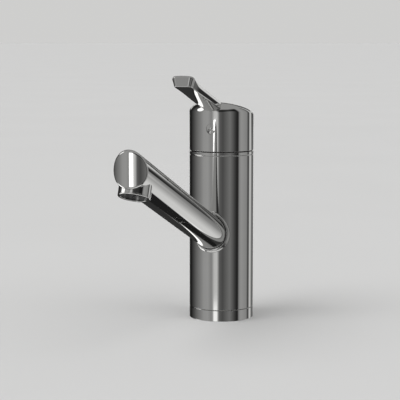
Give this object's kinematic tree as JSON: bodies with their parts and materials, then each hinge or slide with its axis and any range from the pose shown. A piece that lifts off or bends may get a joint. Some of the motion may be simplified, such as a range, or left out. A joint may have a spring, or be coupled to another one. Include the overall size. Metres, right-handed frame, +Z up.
{
  "type": "pull-out kitchen mixer tap",
  "caption": "Single-lever kitchen mixer: upright chrome body on a swivel base, rising straight tube spout that pulls out as a spray on a hose, and a flat blade lever on a domed cap.",
  "frame": {"origin": "centre of the base on the worktop, between the two fixing studs", "axes": "+Z up along the body's axis, the spout points along -Y, X = 0 is the plane of symmetry"},
  "size_m": [0.054, 0.227, 0.2077],
  "materials": {
    "chrome": "polished chrome plate",
    "brass": "machined brass",
    "steel": "stainless steel",
    "rubber": "black rubber",
    "bearing_plastic": "natural acetal",
    "cartridge_plastic": "light grey glass-filled plastic",
    "rotor_plastic": "blue acetal",
    "ceramic": "lapped alumina",
    "liner_plastic": "black plastic",
    "jet_plastic": "dark grey plastic",
    "hose_braid": "grey nylon braid"
  },
  "bodies": {
    "base": {"base_ring": "chrome", "base_gasket": "rubber", "swivel_pillar": "brass", "lower_slide_ring": "bearing_plastic", "upper_slide_ring": "bearing_plastic", "retaining_clip": "steel"},
    "body": {"body_shell": "chrome", "stop_screw": "steel", "neck_bush": "bearing_plastic", "trim_ring": "chrome", "valve_block": "brass", "cartridge_base": "cartridge_plastic", "inlet_seals": "rubber", "fixed_disc": "ceramic", "cartridge_housing": "cartridge_plastic", "cartridge_nut": "brass", "spray_hose": "hose_braid"},
    "rotor": {"rotor": "rotor_plastic", "pivot_pin": "steel"},
    "lever": {"lever": "chrome", "spindle": "brass", "grub_screw": "steel", "index_plug": "chrome"},
    "disc": {"moving_disc": "ceramic", "disc_carrier": "cartridge_plastic"},
    "spray": {"spray_tube": "chrome", "aerator_housing": "chrome", "aerator_insert": "jet_plastic", "aerator_seal": "rubber", "water_liner": "liner_plastic", "check_valve": "jet_plastic", "liner_seal": "rubber", "hose_nut": "brass"}
  },
  "joints": [
    {"name": "body_swivel", "type": "hinge", "parent": "base", "child": "body", "pos_m": [0, 0, 0.024], "axis": [0, 0, 1], "range_deg": [-70, 70]},
    {"name": "lever_turn", "type": "hinge", "parent": "body", "child": "rotor", "pos_m": [0, 0, 0.1617], "axis": [0, 0, 1], "range_deg": [-45, 45]},
    {"name": "lever_lift", "type": "hinge", "parent": "rotor", "child": "lever", "pos_m": [0, 0, 0.1617], "axis": [-1, 0, 0], "range_deg": [0, 24]},
    {"name": "disc_slide", "type": "slide", "parent": "rotor", "child": "disc", "axis": [0, -1, 0], "range_m": [0, 0.0039]},
    {"name": "spray_pull", "type": "slide", "parent": "body", "child": "spray", "axis": [0, -0.928, 0.3725], "range_m": [0, 0.4]}
  ],
  "couplings": [
    {"joint": "disc_slide", "follows": "lever_lift", "m_per_rad": 0.00903}
  ]
}
